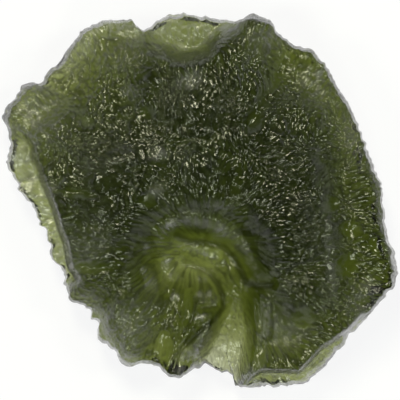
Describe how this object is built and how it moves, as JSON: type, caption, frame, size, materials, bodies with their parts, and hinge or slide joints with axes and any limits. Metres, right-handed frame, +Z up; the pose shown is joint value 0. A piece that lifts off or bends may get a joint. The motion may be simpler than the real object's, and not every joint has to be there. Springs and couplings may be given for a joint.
{
  "type": "moldavite",
  "caption": "Flat, roughly round piece of natural green glass with a deeply folded, finely sculpted face, thin pale edges and a small flat spot to lie on.",
  "frame": {"origin": "under the middle of the outline, at the level of the flat spot that the stone lies on", "axes": "+Z up out of the sculpted face, +X along the longer side, +Y away from the open end of the folds"},
  "size_m": [0.038, 0.036, 0.0099],
  "materials": {
    "green_natural_glass": "etched, finely sculpted natural glass, see-through bottle green where thin"
  },
  "bodies": {
    "root": {"stone": "green_natural_glass"}
  },
  "joints": []
}
